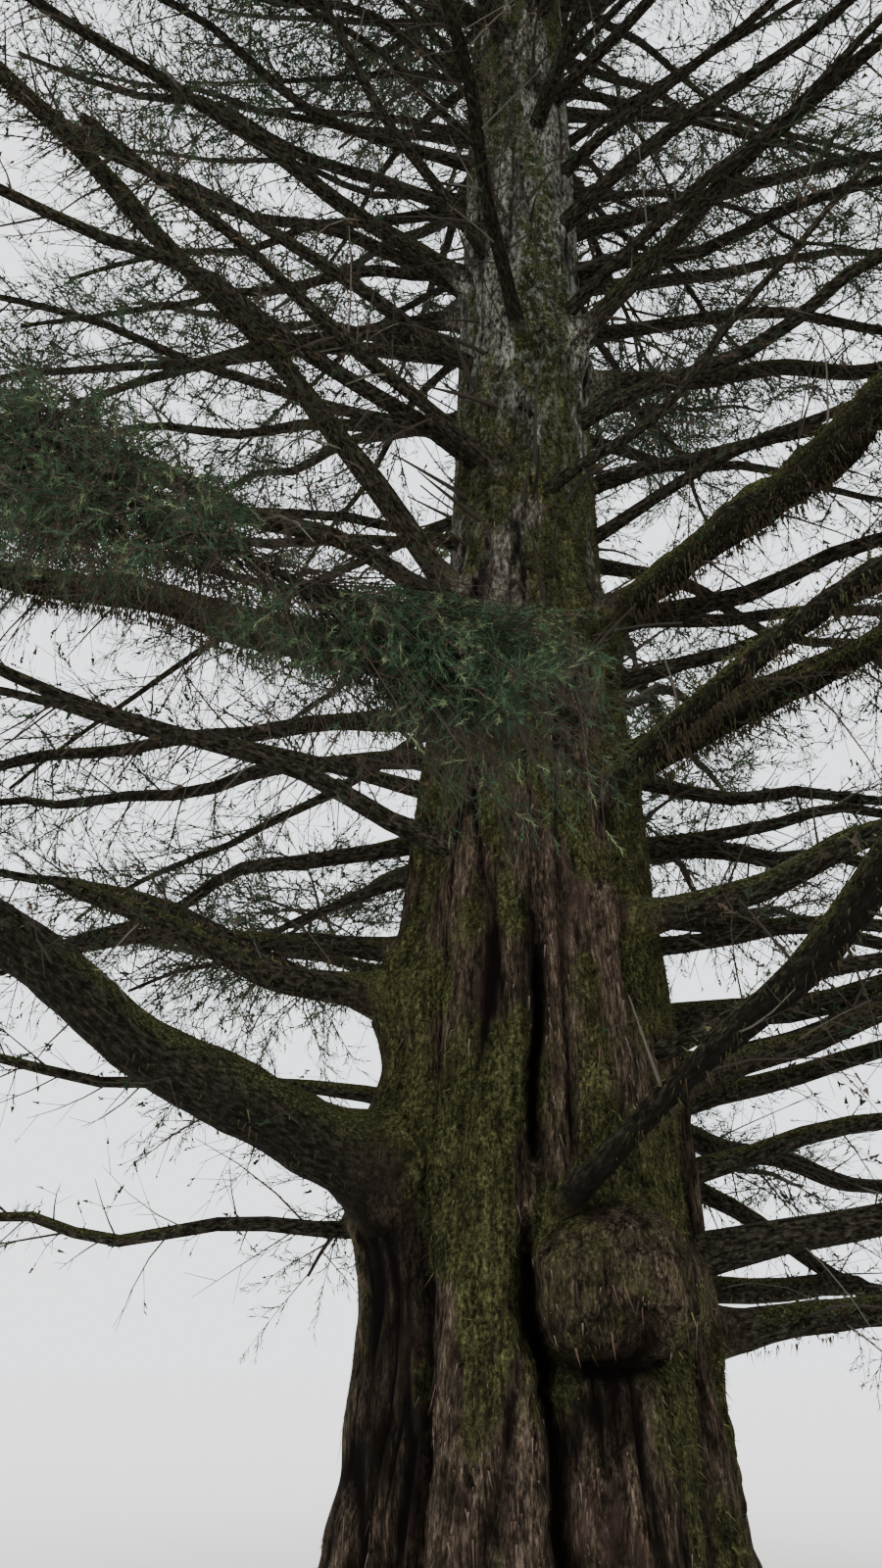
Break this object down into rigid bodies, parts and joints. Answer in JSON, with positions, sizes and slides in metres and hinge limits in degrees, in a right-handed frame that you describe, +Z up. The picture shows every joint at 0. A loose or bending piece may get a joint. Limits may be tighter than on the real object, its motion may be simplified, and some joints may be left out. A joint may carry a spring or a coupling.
{
  "type": "giant sequoia tree",
  "caption": "Whole conifer with a fluted, flared trunk and burl, long bare mossy boughs, one of them broken off, and open tufts of dark needle sprays up to a narrow tip.",
  "frame": {"origin": "centre of the flat cut under the trunk, on level ground", "axes": "+Z up along the trunk, +X to the right and +Y away from a viewer who faces the burl side as in the picture"},
  "size_m": [16.1673, 16.0532, 33],
  "materials": {
    "trunk_bark": "fibrous furrowed bark, mossy on its ridges",
    "bough_bark": "dark rough bark",
    "mossy_bark": "bark under thick shaggy moss",
    "foliage": "dark bluish green needle sprays"
  },
  "bodies": {
    "root": {"trunk": "trunk_bark", "burl_bough": "bough_bark", "front_drooping_bough": "bough_bark", "front_high_bough": "bough_bark", "left_arching_bough": "bough_bark", "left_broken_bough": "bough_bark", "left_crossing_bough": "bough_bark", "left_high_bough": "bough_bark", "left_level_bough": "bough_bark", "left_lowest_bough": "bough_bark", "left_mossy_bough": "mossy_bark", "left_rear_bough": "bough_bark", "left_steep_bough": "bough_bark", "rear_high_bough": "bough_bark", "rear_lowest_bough": "bough_bark", "rear_middle_bough": "bough_bark", "right_crossing_bough": "bough_bark", "right_forward_bough": "bough_bark", "right_great_mossy_bough": "mossy_bark", "right_high_bough": "bough_bark", "right_inner_mossy_bough": "mossy_bark", "right_lowest_bough": "bough_bark", "right_outer_mossy_bough": "mossy_bark", "right_rising_bough": "bough_bark", "right_sinking_bough": "bough_bark", "right_thin_bough": "bough_bark", "burl_foliage": "foliage", "crown_foliage_1": "foliage", "crown_foliage_10": "foliage", "crown_foliage_11": "foliage", "crown_foliage_2": "foliage", "crown_foliage_3": "foliage", "crown_foliage_4": "foliage", "crown_foliage_5": "foliage", "crown_foliage_6": "foliage", "crown_foliage_7": "foliage", "crown_foliage_8": "foliage", "crown_foliage_9": "foliage", "front_hanging_foliage": "foliage", "front_high_foliage": "foliage", "leader_foliage": "foliage", "left_arching_foliage": "foliage", "left_high_foliage": "foliage", "left_level_foliage": "foliage", "left_lowest_foliage": "foliage", "left_mossy_foliage": "foliage", "left_rear_foliage": "foliage", "left_steep_foliage": "foliage", "rear_high_foliage": "foliage", "rear_lowest_foliage": "foliage", "rear_middle_foliage": "foliage", "right_crossing_foliage": "foliage", "right_forward_foliage": "foliage", "right_great_mossy_foliage": "foliage", "right_high_foliage": "foliage", "right_lowest_foliage": "foliage", "right_outer_mossy_foliage": "foliage", "right_rising_foliage": "foliage", "right_sinking_foliage": "foliage", "right_thin_foliage": "foliage"}
  },
  "joints": []
}
